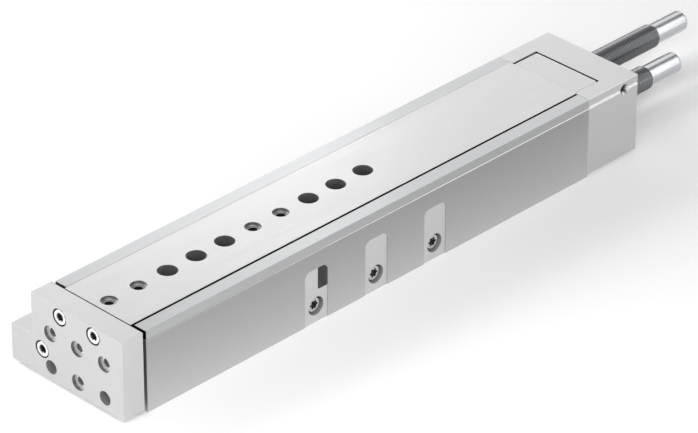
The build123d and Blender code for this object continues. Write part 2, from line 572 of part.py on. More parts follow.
# End block: closes the slide's rear end and reaches down to carry the advance absorber
with BuildPart() as slide_end_block:
    with BuildSketch(Plane.YZ.offset(SLIDE_REAR)):
        with BuildLine():
            Polyline(
                (-END_BLOCK_HALF_WIDTH, END_BLOCK_TOP),
                (END_BLOCK_HALF_WIDTH, END_BLOCK_TOP),
                (END_BLOCK_HALF_WIDTH, SLIDE_BOTTOM),
                (END_BLOCK_FOOT_HALF, SLIDE_BOTTOM),
                (END_BLOCK_FOOT_HALF, END_BLOCK_FOOT_Z),
                (-END_BLOCK_FOOT_HALF, END_BLOCK_FOOT_Z),
                (-END_BLOCK_FOOT_HALF, SLIDE_BOTTOM),
                (-END_BLOCK_HALF_WIDTH, SLIDE_BOTTOM),
                close=True,
            )
        make_face()
    extrude(amount=END_BLOCK_LENGTH)
    upright_edges = slide_end_block.edges().filter_by(Axis.Z)
    rear_corners = upright_edges.filter_by_position(Axis.X, END_BLOCK_REAR, END_BLOCK_REAR).sort_by(Axis.Y)
    fillet([rear_corners[0], rear_corners[-1]], END_BLOCK_CORNER)
    top_face = slide_end_block.faces().sort_by(Axis.Z)[-1]
    chamfer(top_face.edges().sort_by(Axis.X)[1:], LIGHT_BREAK)
    bar(SLIDE_REAR, END_BLOCK_REAR, ADVANCE_YZ, SLEEVE_RADIUS + FIT, Mode.SUBTRACT)
    with Locations(END_BLOCK_FACE):
        with Locations(*END_SCREW_PLACES):
            CounterBoreHole(M5_RADIUS + FIT, M5_SINK_RADIUS, M5_SINK_DEPTH, END_BLOCK_LENGTH)
slide_end_block.part.label = "slide_end_block"
export_step(slide_end_block.part, "parts/slide_end_block.step")

end_block_screw = cap_screw(END_BLOCK_LENGTH - M5_SINK_DEPTH + M5_ENGAGE - STOP_GAP)
with BuildPart() as end_block_screws:
    with Locations(END_BLOCK_FACE.offset(-M5_SINK_DEPTH)):
        with Locations(*END_SCREW_PLACES):
            add(end_block_screw)
end_block_screws.part.label = "end_block_screws"
export_step(end_block_screws.part, "parts/end_block_screws.step")

# Rear cover: closes the housing and the cylinder, and carries the retract absorber
with BuildPart() as rear_cover:
    with BuildSketch(Plane.YZ.offset(HOUSING_REAR)):
        add(stepped_outline(COVER_HALF_WIDTH, COVER_BOTTOM, COVER_TOP, EAR_OUTER_Y, EAR_TOP))
        make_face()
    extrude(amount=COVER_LENGTH)
    top_edges = rear_cover.edges().filter_by(Axis.X).filter_by_position(Axis.Z, COVER_TOP, COVER_TOP)
    chamfer(rear_cover.faces().sort_by(Axis.X)[-1].edges() + top_edges, LIGHT_BREAK)

    # Shallow V grooves that continue the line between housing and rail
    groove_root = COVER_HALF_WIDTH - COVER_GROOVE_DEPTH
    with BuildSketch(Plane.YZ.offset(HOUSING_REAR)):
        for side in (1, -1):
            with BuildLine():
                Polyline(
                    (side * COVER_HALF_WIDTH, WALL_TOP + COVER_GROOVE_HEIGHT / 2),
                    (side * groove_root, WALL_TOP + COVER_GROOVE_HEIGHT / 4),
                    (side * COVER_HALF_WIDTH, WALL_TOP - COVER_GROOVE_HEIGHT / 2),
                    close=True,
                )
            make_face()
    extrude(amount=COVER_LENGTH, mode=Mode.SUBTRACT)

    # Pocket for the end block, with the slot for its foot
    with BuildSketch(Plane.YZ.offset(HOUSING_REAR)):
        with Locations((0, CHANNEL_FLOOR)):
            Rectangle(2 * POCKET_HALF_WIDTH, COVER_TOP - CHANNEL_FLOOR, align=(Align.CENTER, Align.MIN))
        with Locations((0, SLOT_FLOOR)):
            Rectangle(2 * SLOT_HALF_WIDTH, CHANNEL_FLOOR - SLOT_FLOOR, align=(Align.CENTER, Align.MIN))
    extrude(amount=POCKET_DEPTH, mode=Mode.SUBTRACT)

    # Passage for the travelling absorber, seat of the fixed one, and the air ports
    bar(POCKET_BACK, COVER_REAR, ADVANCE_YZ, SLEEVE_RADIUS + PASSAGE_CLEARANCE, Mode.SUBTRACT)
    bar(HOUSING_REAR, COVER_REAR, RETRACT_YZ, STOP_ROD_BORE_RADIUS, Mode.SUBTRACT)
    bar(COVER_REAR - RETRACT_THREAD_LENGTH, COVER_REAR, RETRACT_YZ, SLEEVE_RADIUS + FIT, Mode.SUBTRACT)
    for port_axis in (BORE_YZ, GALLERY_YZ):
        bar(HOUSING_REAR, COVER_REAR, port_axis, AIR_RADIUS, Mode.SUBTRACT)
        bar(COVER_REAR - PORT_DEPTH, COVER_REAR, port_axis, M5_TAP_RADIUS, Mode.SUBTRACT)

    with Locations(COVER_FACE):
        with Locations(*COVER_SCREW_PLACES):
            CounterBoreHole(M5_RADIUS + FIT, M5_SINK_RADIUS, M5_SINK_DEPTH, COVER_LENGTH)

    # Countersunk pin hole in the groove of the near side
    pin_hole_mouth = (COVER_REAR - PIN_HOLE_FROM_REAR, -COVER_HALF_WIDTH, WALL_TOP)
    with Locations(Plane(pin_hole_mouth, z_dir=(0, -1, 0))):
        CounterSinkHole(PIN_HOLE_RADIUS, PIN_SINK_RADIUS, PIN_HOLE_DEPTH)
rear_cover.part.label = "rear_cover"
export_step(rear_cover.part, "parts/rear_cover.step")

cover_screw = cap_screw(COVER_LENGTH - M5_SINK_DEPTH + M5_ENGAGE - STOP_GAP)
with BuildPart() as cover_screws:
    with Locations(COVER_FACE.offset(-M5_SINK_DEPTH)):
        with Locations(*COVER_SCREW_PLACES):
            add(cover_screw)
cover_screws.part.label = "cover_screws"
export_step(cover_screws.part, "parts/cover_screws.step")

# Side plugs: button heads with a six-lobed socket, each on a soft sealing ring
plug_underside = SIDE_FACE.offset(-PLUG_HEAD_SUNK - PLUG_HEAD_HEIGHT)
with BuildPart() as side_plugs:
    with Locations(plug_underside):
        with Locations(*[(x, PLUG_Z) for x in POCKET_X]):
            Cylinder(PLUG_HEAD_RADIUS, PLUG_HEAD_HEIGHT, align=(Align.CENTER, Align.CENTER, Align.MIN))
            Cylinder(PLUG_THREAD_RADIUS, PLUG_THREAD_LENGTH, align=(Align.CENTER, Align.CENTER, Align.MAX))
    rims = side_plugs.edges().filter_by(GeomType.CIRCLE).group_by(Axis.Y)[0]
    chamfer(rims, EDGE_BREAK)
    with BuildSketch(plug_underside.offset(PLUG_HEAD_HEIGHT)):
        with Locations(*[(x, PLUG_Z) for x in POCKET_X]):
            Circle(LOBE_DISTANCE)
            with PolarLocations(LOBE_DISTANCE, 6):
                Circle(LOBE_RADIUS)
    extrude(amount=-SOCKET_DEPTH, mode=Mode.SUBTRACT)
side_plugs.part.label = "side_plugs"
export_step(side_plugs.part, "parts/side_plugs.step")

with BuildPart() as plug_seals:
    with Locations(plug_underside):
        with Locations(*[(x, PLUG_Z) for x in POCKET_X]):
            Cylinder(PLUG_HEAD_RADIUS, PLUG_SEAL_THICKNESS, align=(Align.CENTER, Align.CENTER, Align.MAX))
            Hole(PLUG_THREAD_RADIUS + FIT, PLUG_SEAL_THICKNESS)
plug_seals.part.label = "plug_seals"
export_step(plug_seals.part, "parts/plug_seals.step")

# Stop block: a hardened key across the slot that ends the advance stroke
with BuildPart() as stop_block:
    with BuildSketch(Plane.YZ.offset(STOP_BLOCK_FRONT)):
        with Locations((0, SLOT_FLOOR)):
            block_height = CHANNEL_FLOOR - SLOT_FLOOR
            Rectangle(2 * (SLOT_HALF_WIDTH - FIT), block_height, align=(Align.CENTER, Align.MIN))
    extrude(amount=STOP_BLOCK_LENGTH)
    chamfer(stop_block.edges().filter_by(Axis.Y).group_by(Axis.Z)[-1], EDGE_BREAK)
    with Locations(Plane(((STOP_BLOCK_FRONT + STOP_BLOCK_REAR) / 2, 0, SLOT_FLOOR), z_dir=(0, 0, -1))):
        Hole(M5_RADIUS + FIT, M5_ENGAGE)
stop_block.part.label = "stop_block"
export_step(stop_block.part, "parts/stop_block.step")

stop_screw_x = (STOP_BLOCK_FRONT + STOP_BLOCK_REAR) / 2
with BuildPart() as stop_block_screw:
    with BuildSketch(Plane((stop_screw_x, 0, RUNNING), x_dir=(1, 0, 0), z_dir=(0, -1, 0))):
        with BuildLine():
            Polyline(
                (0, 0),
                (COUNTERSUNK_HEAD_RADIUS, 0),
                (M5_RADIUS, COUNTERSUNK_HEAD_RADIUS - M5_RADIUS),
                (M5_RADIUS, SLOT_FLOOR + M5_ENGAGE - STOP_GAP),
                (0, SLOT_FLOOR + M5_ENGAGE - STOP_GAP),
                close=True,
            )
        make_face()
    revolve(axis=Axis((stop_screw_x, 0, 0), (0, 0, 1)))
    with BuildSketch(Plane.XY):
        with Locations((stop_screw_x, 0)):
            RegularPolygon(COUNTERSUNK_HEX / 2, 6, major_radius=False)
    extrude(amount=M5_HEX_DEPTH, mode=Mode.SUBTRACT)
stop_block_screw.part.label = "stop_block_screw"
export_step(stop_block_screw.part, "parts/stop_block_screw.step")

# Cylinder, from the front: snap ring, rod guide with its wiper, seal and O-ring
with BuildPart() as rod_guide_ring:
    ring_outer = BORE_RADIUS + RING_OVERSIZE - RUNNING
    ring(RING_FRONT, GUIDE_FRONT - FIT, BORE_YZ, ring_outer, BORE_RADIUS - RING_THICKNESS)
    with BuildSketch(Plane.YZ.offset(RING_FRONT)):
        with Locations((BORE_YZ[0], BORE_Z + BORE_RADIUS)):
            Rectangle(BORE_RADIUS, BORE_RADIUS)
    extrude(amount=RING_THICKNESS, mode=Mode.SUBTRACT)
rod_guide_ring.part.label = "rod_guide_ring"
export_step(rod_guide_ring.part, "parts/rod_guide_ring.step")

with BuildPart() as rod_guide:
    bar(GUIDE_FRONT, GUIDE_REAR, BORE_YZ, BORE_RADIUS - FIT)
    bar(GUIDE_REAR, GUIDE_NOSE_REAR, BORE_YZ, CAP_NOSE_RADIUS)
    bar(GUIDE_FRONT, GUIDE_NOSE_REAR, BORE_YZ, ROD_RADIUS + RUNNING, Mode.SUBTRACT)
    bar(GUIDE_FRONT, WIPER_REAR, BORE_YZ, ROD_SEAL_RADIUS, Mode.SUBTRACT)
    bar(ROD_SEAL_FRONT, ROD_SEAL_REAR, BORE_YZ, ROD_SEAL_RADIUS, Mode.SUBTRACT)
    ring(GUIDE_O_RING_FRONT, GUIDE_O_RING_REAR, BORE_YZ, BORE_RADIUS, ROD_SEAL_RADIUS + FIT, Mode.SUBTRACT)
rod_guide.part.label = "rod_guide"
export_step(rod_guide.part, "parts/rod_guide.step")

with BuildPart() as rod_wiper:
    ring(GUIDE_FRONT + FIT, WIPER_REAR - FIT, BORE_YZ, ROD_SEAL_RADIUS - FIT, ROD_RADIUS + FIT)
rod_wiper.part.label = "rod_wiper"
export_step(rod_wiper.part, "parts/rod_wiper.step")

with BuildPart() as rod_seal:
    ring(ROD_SEAL_FRONT + FIT, ROD_SEAL_REAR - FIT, BORE_YZ, ROD_SEAL_RADIUS - FIT, ROD_RADIUS + FIT)
rod_seal.part.label = "rod_seal"
export_step(rod_seal.part, "parts/rod_seal.step")

with BuildPart() as guide_o_ring:
    ring(GUIDE_O_RING_FRONT + FIT, GUIDE_O_RING_REAR - FIT, BORE_YZ, O_RING_OUTER, ROD_SEAL_RADIUS + 2 * FIT)
guide_o_ring.part.label = "guide_o_ring"
export_step(guide_o_ring.part, "parts/guide_o_ring.step")

# Piston rod: screwed into the yoke's ear at the front, stepped for the piston at the rear
with BuildPart() as piston_rod:
    bar(YOKE_REAR - ROD_THREAD_DEPTH + STOP_GAP, PISTON_FRONT, BORE_YZ, ROD_RADIUS)
    bar(PISTON_FRONT, PISTON_REAR, BORE_YZ, ROD_TENON_RADIUS)
    chamfer(piston_rod.edges().sort_by(Axis.X)[0], EDGE_BREAK)
piston_rod.part.label = "piston_rod"
export_step(piston_rod.part, "parts/piston_rod.step")

# Piston: grooves for two seals with a magnet between them, and a recess for the nut
with BuildPart() as piston:
    bar(PISTON_FRONT, PISTON_REAR, BORE_YZ, PISTON_RADIUS)
    bar(PISTON_FRONT, PISTON_REAR, BORE_YZ, ROD_TENON_RADIUS + FIT, Mode.SUBTRACT)
    bar(PISTON_REAR - NUT_THICKNESS, PISTON_REAR, BORE_YZ, NUT_RECESS_RADIUS, Mode.SUBTRACT)
    for front in SEAL_FRONTS:
        ring(front, front + SEAL_WIDTH, BORE_YZ, BORE_RADIUS, SEAL_ROOT_RADIUS, Mode.SUBTRACT)
    ring(MAGNET_FRONT, MAGNET_REAR, BORE_YZ, BORE_RADIUS, SEAL_ROOT_RADIUS, Mode.SUBTRACT)
piston.part.label = "piston"
export_step(piston.part, "parts/piston.step")

with BuildPart() as piston_seals:
    for front in SEAL_FRONTS:
        ring(front + FIT, front + SEAL_WIDTH - FIT, BORE_YZ, BORE_RADIUS - FIT, SEAL_ROOT_RADIUS + FIT)
piston_seals.part.label = "piston_seals"
export_step(piston_seals.part, "parts/piston_seals.step")

with BuildPart() as piston_magnet:
    ring(MAGNET_FRONT + FIT, MAGNET_REAR - FIT, BORE_YZ, PISTON_RADIUS - 2 * FIT, SEAL_ROOT_RADIUS + FIT)
piston_magnet.part.label = "piston_magnet"
export_step(piston_magnet.part, "parts/piston_magnet.step")

with BuildPart() as piston_nut:
    with BuildSketch(Plane.YZ.offset(PISTON_REAR - NUT_THICKNESS)):
        with Locations(BORE_YZ):
            RegularPolygon(NUT_ACROSS_FLATS / 2, 6, major_radius=False)
            Circle(ROD_TENON_RADIUS + FIT, mode=Mode.SUBTRACT)
    extrude(amount=NUT_THICKNESS - FIT)
piston_nut.part.label = "piston_nut"
export_step(piston_nut.part, "parts/piston_nut.step")

with BuildPart() as piston_bumpers:
    ring(PISTON_FRONT - BUMPER_THICKNESS, PISTON_FRONT, BORE_YZ, BUMPER_RADIUS, ROD_RADIUS + FIT)
    ring(PISTON_REAR, PISTON_REAR + BUMPER_THICKNESS, BORE_YZ, BUMPER_RADIUS, NUT_RECESS_RADIUS)
piston_bumpers.part.label = "piston_bumpers"
export_step(piston_bumpers.part, "parts/piston_bumpers.step")

# End cap of the cylinder, held in the bore by the rear cover
with BuildPart() as cylinder_end_cap:
    bar(CAP_FRONT, HOUSING_REAR, BORE_YZ, BORE_RADIUS - FIT)
    bar(CAP_NOSE_FRONT, CAP_FRONT, BORE_YZ, CAP_NOSE_RADIUS)
    bar(CAP_NOSE_FRONT, HOUSING_REAR, BORE_YZ, AIR_RADIUS, Mode.SUBTRACT)
    ring(CAP_O_RING_FRONT, CAP_O_RING_REAR, BORE_YZ, BORE_RADIUS, ROD_SEAL_RADIUS + FIT, Mode.SUBTRACT)
cylinder_end_cap.part.label = "cylinder_end_cap"
export_step(cylinder_end_cap.part, "parts/cylinder_end_cap.step")

with BuildPart() as end_cap_o_ring:
    ring(CAP_O_RING_FRONT + FIT, CAP_O_RING_REAR - FIT, BORE_YZ, O_RING_OUTER, ROD_SEAL_RADIUS + 2 * FIT)
end_cap_o_ring.part.label = "end_cap_o_ring"
export_step(end_cap_o_ring.part, "parts/end_cap_o_ring.step")

# Stop rod: runs beside the cylinder and meets the retract absorber at the end of the way back
with BuildPart() as stop_rod:
    bar(YOKE_REAR, STOP_ROD_END, RETRACT_YZ, STOP_ROD_RADIUS)
    chamfer(stop_rod.edges().group_by(Axis.X)[-1], EDGE_BREAK)
    bar(YOKE_REAR, YOKE_REAR + M5_ENGAGE, RETRACT_YZ, M5_RADIUS + FIT, Mode.SUBTRACT)
stop_rod.part.label = "stop_rod"
export_step(stop_rod.part, "parts/stop_rod.step")

# Shock absorbers: one fixed in the cover, one that travels with the end block
for absorber, axis, sleeve_front in (
    ("retract", RETRACT_YZ, RETRACT_SLEEVE_FRONT),
    ("advance", ADVANCE_YZ, ADVANCE_SLEEVE_FRONT),
):
    sleeve_rear = sleeve_front + SLEEVE_LENGTH
    with BuildPart() as sleeve:
        bar(sleeve_front, sleeve_rear, axis, SLEEVE_RADIUS)
        chamfer(sleeve.edges().filter_by(GeomType.CIRCLE), SLEEVE_CHAMFER)
        plunger_room = PLUNGER_IN + PLUNGER_TRAVEL + STOP_GAP
        bar(sleeve_front, sleeve_front + plunger_room, axis, PLUNGER_RADIUS + RUNNING, Mode.SUBTRACT)
    sleeve.part.label = f"{absorber}_absorber_sleeve"
    export_step(sleeve.part, f"parts/{absorber}_absorber_sleeve.step")

    with BuildPart() as barrel:
        bar(sleeve_rear, sleeve_rear + BARREL_LENGTH, axis, BARREL_RADIUS)
        fillet(barrel.edges().group_by(Axis.X)[-1], BARREL_NOSE)
    barrel.part.label = f"{absorber}_absorber_barrel"
    export_step(barrel.part, f"parts/{absorber}_absorber_barrel.step")

    with BuildPart() as plunger:
        bar(sleeve_front - PLUNGER_OUT, sleeve_front + PLUNGER_IN, axis, PLUNGER_RADIUS)
        chamfer(plunger.edges().group_by(Axis.X)[0], EDGE_BREAK)
    plunger.part.label = f"{absorber}_plunger"
    export_step(plunger.part, f"parts/{absorber}_plunger.step")

with BuildPart() as advance_lock_nut:
    ring(SLIDE_REAR - LOCK_NUT_THICKNESS, SLIDE_REAR, ADVANCE_YZ, ROUND_NUT_RADIUS, SLEEVE_RADIUS + FIT)
advance_lock_nut.part.label = "advance_lock_nut"
export_step(advance_lock_nut.part, "parts/advance_lock_nut.step")

with BuildPart() as retract_lock_nut:
    with BuildSketch(COVER_FACE):
        with Locations(RETRACT_YZ):
            RegularPolygon(HEX_NUT_FLATS / 2, 6, major_radius=False)
            Circle(SLEEVE_RADIUS + FIT, mode=Mode.SUBTRACT)
    extrude(amount=LOCK_NUT_THICKNESS)
retract_lock_nut.part.label = "retract_lock_nut"
export_step(retract_lock_nut.part, "parts/retract_lock_nut.step")
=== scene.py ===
import math

import bpy
import numpy as np
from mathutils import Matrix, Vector


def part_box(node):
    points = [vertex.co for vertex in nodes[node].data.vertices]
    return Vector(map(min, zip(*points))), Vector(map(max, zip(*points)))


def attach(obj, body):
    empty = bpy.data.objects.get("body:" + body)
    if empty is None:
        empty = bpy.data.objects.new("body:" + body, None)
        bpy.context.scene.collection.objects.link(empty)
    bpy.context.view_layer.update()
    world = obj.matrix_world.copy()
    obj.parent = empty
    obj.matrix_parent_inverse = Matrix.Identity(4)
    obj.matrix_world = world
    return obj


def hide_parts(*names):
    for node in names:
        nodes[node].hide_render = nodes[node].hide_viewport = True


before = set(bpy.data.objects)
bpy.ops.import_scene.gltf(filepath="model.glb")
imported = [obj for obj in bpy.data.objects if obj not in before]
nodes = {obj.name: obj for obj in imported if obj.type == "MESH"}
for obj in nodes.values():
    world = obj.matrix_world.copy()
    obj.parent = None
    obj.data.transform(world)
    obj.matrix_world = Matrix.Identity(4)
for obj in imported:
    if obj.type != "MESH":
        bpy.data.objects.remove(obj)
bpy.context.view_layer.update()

scene = bpy.context.scene
scene.view_settings.view_transform = "Standard"

# Camera: a long lens, 2.4 m away, at the corner between the yoke and the near side and
# 31 degrees above the table, fitted to the edges and holes of the photograph.
CAMERA_AZIMUTH = math.radians(-45.07)
CAMERA_ELEVATION = math.radians(31.26)
CAMERA_DISTANCE = 2.4325
CAMERA_TARGET = Vector((0.0032, -0.0101, 0.0334))
LENS_MM = 240.8
SENSOR_MM = 36.0
NEAREST_SEEN = 0.1
FARTHEST_SEEN = 100.0
towards_camera = Vector((
    math.sin(CAMERA_AZIMUTH) * math.cos(CAMERA_ELEVATION),
    -math.cos(CAMERA_AZIMUTH) * math.cos(CAMERA_ELEVATION),
    math.sin(CAMERA_ELEVATION),
))
lens = bpy.data.cameras.new("product_lens")
lens.lens = LENS_MM
lens.sensor_width = SENSOR_MM
lens.clip_start = NEAREST_SEEN
lens.clip_end = FARTHEST_SEEN
camera = bpy.data.objects.new("product_camera", lens)
scene.collection.objects.link(camera)
camera.location = CAMERA_TARGET + towards_camera * CAMERA_DISTANCE
camera.rotation_mode = "QUATERNION"
camera.rotation_quaternion = (-towards_camera).to_track_quat("-Z", "Y")
scene.camera = camera


# Studio: a seamless white floor under a dim white sky. A big softbox at the far left lights the
# table, small ones close by shape its faces, and wide panels stand where its metal mirrors
# them: behind it for the top, right of it for the shock absorbers.
def linear(colour):
    """Linear RGBA of an sRGB hex colour."""
    channels = [int(colour[i:i + 2], 16) / 255 for i in (1, 3, 5)]
    return [c / 12.92 if c <= 0.04045 else ((c + 0.055) / 1.055) ** 2.4 for c in channels] + [1.0]


def add(tree, kind, inputs=None, **settings):
    """Adds one node. Settings are its own properties, and inputs are values or sockets to link."""
    made = tree.nodes.new(kind)
    for name, value in settings.items():
        setattr(made, name, value)
    for name, value in (inputs or {}).items():
        if isinstance(value, bpy.types.NodeSocket):
            tree.links.new(value, made.inputs[name])
        else:
            made.inputs[name].default_value = value
    return made


def larger(tree, first, second):
    """The larger of two values. Of two marks that are 0 or 1 it means either of them."""
    return add(tree, "ShaderNodeMath", {0: first, 1: second}, operation="MAXIMUM").outputs[0]


def softbox(name, azimuth, elevation, distance, width, height, radiance):
    """A rectangular lamp that faces the table from a distance in metres, in the direction of an
    azimuth from +X towards +Y and an elevation, both in degrees. Its power is its even radiance
    times pi times its area."""
    data = bpy.data.lights.new(name, "AREA")
    data.shape = "RECTANGLE"
    data.size = width
    data.size_y = height
    data.energy = radiance * math.pi * width * height
    lamp = bpy.data.objects.new(name, data)
    scene.collection.objects.link(lamp)
    turn = math.radians(azimuth)
    rise = math.radians(elevation)
    outwards = Vector((math.cos(turn) * math.cos(rise), math.sin(turn) * math.cos(rise), math.sin(rise)))
    lamp.location = outwards * distance
    lamp.rotation_mode = "QUATERNION"
    lamp.rotation_quaternion = (-outwards).to_track_quat("-Z", "Y")
    lamp.visible_camera = False


# The sky is white where it is seen straight or through glass. As a light and in metal it is dim:
# with these lamps the slide's top clips to white if its metal shows the sky at full strength.
SKY_RADIANCE = 0.15
WHITE_RADIANCE = 1.0
sky = bpy.data.worlds.new("white_sky")
scene.world = sky
sky.use_nodes = True
sky_tree = sky.node_tree
sky_tree.nodes.clear()
path = add(sky_tree, "ShaderNodeLightPath")
seen = larger(sky_tree, path.outputs["Is Camera Ray"], path.outputs["Is Transmission Ray"])
strength = add(sky_tree, "ShaderNodeMix", {"Factor": seen, "A": SKY_RADIANCE, "B": WHITE_RADIANCE})
light = add(sky_tree, "ShaderNodeBackground", {
    "Color": linear("#FFFFFF"),
    "Strength": strength.outputs["Result"],
})
add(sky_tree, "ShaderNodeOutputWorld", {"Surface": light.outputs[0]})

# Each row: name, azimuth, elevation, distance, width, height, radiance.
for row in (
    ("key_far_left", 120.0, 32.0, 1.5, 0.7, 0.7, 4.8),
    ("fill_left_low", 90.0, 11.0, 1.5, 0.7, 0.5, 1.2),
    ("panel_right_low", 315.0, 11.0, 1.5, 0.7, 0.5, 2.0),
    ("panel_right", 330.0, 32.0, 1.5, 0.7, 0.7, 2.1),
    ("panel_behind", 30.0, 32.0, 1.5, 0.7, 0.7, 1.2),
    ("panel_behind_left", 60.0, 32.0, 1.5, 0.7, 0.7, 0.4),
    ("near_left", 135.0, 20.0, 0.65, 0.4, 0.4, 0.8),
    ("near_above", 240.0, 48.0, 0.65, 0.4, 0.4, 2.1),
    ("strip_left", 90.0, 40.0, 0.4, 1.2, 0.15, 0.42),
    ("close_behind", 60.0, 31.0, 0.45, 0.25, 0.25, 0.95),
    ("close_right_front", 255.0, 14.0, 0.4, 0.25, 0.15, 1.8),
    ("close_right", 270.0, 14.0, 0.4, 0.3, 0.15, 0.9),
    ("close_left_front", 180.0, 17.0, 0.4, 0.3, 0.2, 1.05),
    ("close_front_top", 200.0, 35.0, 0.4, 0.3, 0.2, 0.95),
):
    softbox(*row)

FLOOR_HALF = 4.0
FLOOR_DROP = 0.0001
FLOOR_COLOUR = "#FAFAFA"
FLOOR_LIFT = 0.2
floor_mesh = bpy.data.meshes.new("studio_floor")
floor_corners = [
    (x * FLOOR_HALF, y * FLOOR_HALF, -FLOOR_DROP) for x, y in ((-1, -1), (1, -1), (1, 1), (-1, 1))
]
floor_mesh.from_pydata(floor_corners, [], [(0, 1, 2, 3)])
floor = bpy.data.objects.new("studio_floor", floor_mesh)
scene.collection.objects.link(floor)
# White paper: a matte surface that keeps the table's shadow, lifted a little towards white where
# it is seen straight, in metal or through glass.
paper = bpy.data.materials.new("white_paper_floor")
paper.use_nodes = True
paper_tree = paper.node_tree
paper_tree.nodes.clear()
matte = add(paper_tree, "ShaderNodeBsdfDiffuse", {"Color": linear(FLOOR_COLOUR)})
path = add(paper_tree, "ShaderNodeLightPath")
seen = larger(paper_tree, path.outputs["Is Camera Ray"], path.outputs["Is Glossy Ray"])
seen = larger(paper_tree, seen, path.outputs["Is Transmission Ray"])
lift = add(paper_tree, "ShaderNodeMath", {0: seen, 1: FLOOR_LIFT}, operation="MULTIPLY")
glow = add(paper_tree, "ShaderNodeEmission", {"Color": linear("#FFFFFF"), "Strength": lift.outputs[0]})
both = add(paper_tree, "ShaderNodeAddShader", {0: matte.outputs[0], 1: glow.outputs[0]})
add(paper_tree, "ShaderNodeOutputMaterial", {"Surface": both.outputs[0]})
floor_mesh.materials.append(paper)


# Housing: one long aluminium profile, drawn, brushed along its length and anodised clear. The
# channel, the bores, the ledge under the rails and the three shallow side pockets are milled
# into it. It stands on its flat underside.
MM = 0.001


def smooth_curves(piece, sharp_angle=30.0, merge_distance=1e-6):
    """Joins a node's loose triangles and shades its round faces smooth, with edges past an angle
    in degrees kept sharp."""
    weld = piece.modifiers.new("joined_triangles", "WELD")
    weld.merge_threshold = merge_distance
    split = piece.modifiers.new("sharp_edges", "EDGE_SPLIT")
    split.split_angle = math.radians(sharp_angle)
    piece.data.polygons.foreach_set("use_smooth", [True] * len(piece.data.polygons))


def dress(material, *names):
    """Gives CAD nodes a material in every slot and smooth round faces."""
    for name in names:
        for slot in nodes[name].material_slots:
            slot.material = material
        smooth_curves(nodes[name])


def finish(name, colour, roughness, metallic=1.0):
    """A new material with its shader set to one even finish. Returns it with its tree and its shader."""
    made = bpy.data.materials.new(name)
    made.use_nodes = True
    shader = made.node_tree.nodes["Principled BSDF"]
    shader.inputs["Base Color"].default_value = linear(colour)
    shader.inputs["Roughness"].default_value = roughness
    shader.inputs["Metallic"].default_value = metallic
    return made, made.node_tree, shader


def on_piece(tree):
    """The place on the piece, in metres from the frame's own zero point."""
    return add(tree, "ShaderNodeTexCoord").outputs["Object"]


def grain(tree, size, seed=0.0, detail=2.0):
    """Noise whose marks have the given size in millimetres along X, Y and Z."""
    scaled = add(tree, "ShaderNodeMapping", {
        "Vector": on_piece(tree),
        "Location": (seed, seed, seed),
        "Scale": tuple(1.0 / (length * MM) for length in size),
    })
    noise = add(tree, "ShaderNodeTexNoise", {"Vector": scaled.outputs[0], "Scale": 1.0, "Detail": detail})
    return noise.outputs["Fac"]


def vary_sheen(tree, shader, marks, smoothest, roughest):
    """Spreads a finish's roughness over noise marks, whose value keeps between about 0.3 and 0.7."""
    roughness = add(tree, "ShaderNodeMapRange", {
        "Value": marks, "From Min": 0.3, "From Max": 0.7, "To Min": smoothest, "To Max": roughest,
    })
    tree.links.new(roughness.outputs[0], shader.inputs["Roughness"])


def cut_relief(tree, shader, marks, depth, edge_radius):
    """Cuts noise marks into a finish to a depth in millimetres, and breaks its edges to a radius."""
    edge = add(tree, "ShaderNodeBevel", {"Radius": edge_radius * MM}, samples=4)
    relief = add(tree, "ShaderNodeBump", {
        "Height": marks, "Distance": depth * MM, "Strength": 1.0, "Normal": edge.outputs[0],
    })
    tree.links.new(relief.outputs[0], shader.inputs["Normal"])


def within(tree, low, high):
    """1 inside a box given in millimetres, and inside its mirror image across the middle plane, else 0.
    A place is inside where its distance from the box's centre, less half the box's length, is below
    zero along X, Y and Z."""
    place = add(tree, "ShaderNodeSeparateXYZ", {0: on_piece(tree)})
    aside = add(tree, "ShaderNodeMath", {0: place.outputs["Y"]}, operation="ABSOLUTE")
    folded = add(tree, "ShaderNodeCombineXYZ", {
        "X": place.outputs["X"], "Y": aside.outputs[0], "Z": place.outputs["Z"],
    })
    centre = [(a + b) / 2 * MM for a, b in zip(low, high)]
    reach = [(b - a) / 2 * MM for a, b in zip(low, high)]
    offset = add(tree, "ShaderNodeVectorMath", {0: folded.outputs[0], 1: centre}, operation="SUBTRACT")
    distance = add(tree, "ShaderNodeVectorMath", {0: offset.outputs[0]}, operation="ABSOLUTE")
    excess = add(tree, "ShaderNodeVectorMath", {0: distance.outputs[0], 1: reach}, operation="SUBTRACT")
    parts = add(tree, "ShaderNodeSeparateXYZ", {0: excess.outputs[0]})
    most = larger(tree, larger(tree, parts.outputs["X"], parts.outputs["Y"]), parts.outputs["Z"])
    return add(tree, "ShaderNodeMath", {0: most, 1: 0.0}, operation="LESS_THAN").outputs[0]


def blend(tree, socket, mask, value):
    """Takes a shader's input from what it holds to another value where a mask is 1."""
    held = socket.links[0].from_socket if socket.is_linked else socket.default_value
    coloured = socket.type == "RGBA"
    # The Mix node has its own sockets for colours and for numbers, which share their names.
    first, second, result = (6, 7, 2) if coloured else (2, 3, 0)
    mixed = add(tree, "ShaderNodeMix", {0: mask, first: held, second: value},
                data_type="RGBA" if coloured else "FLOAT")
    tree.links.new(mixed.outputs[result], socket)


def tint(tree, shader, colour, *boxes):
    """Gives a finish another colour inside boxes, each given as two corners in millimetres."""
    for low, high in boxes:
        blend(tree, shader.inputs["Base Color"], within(tree, low, high), linear(colour))


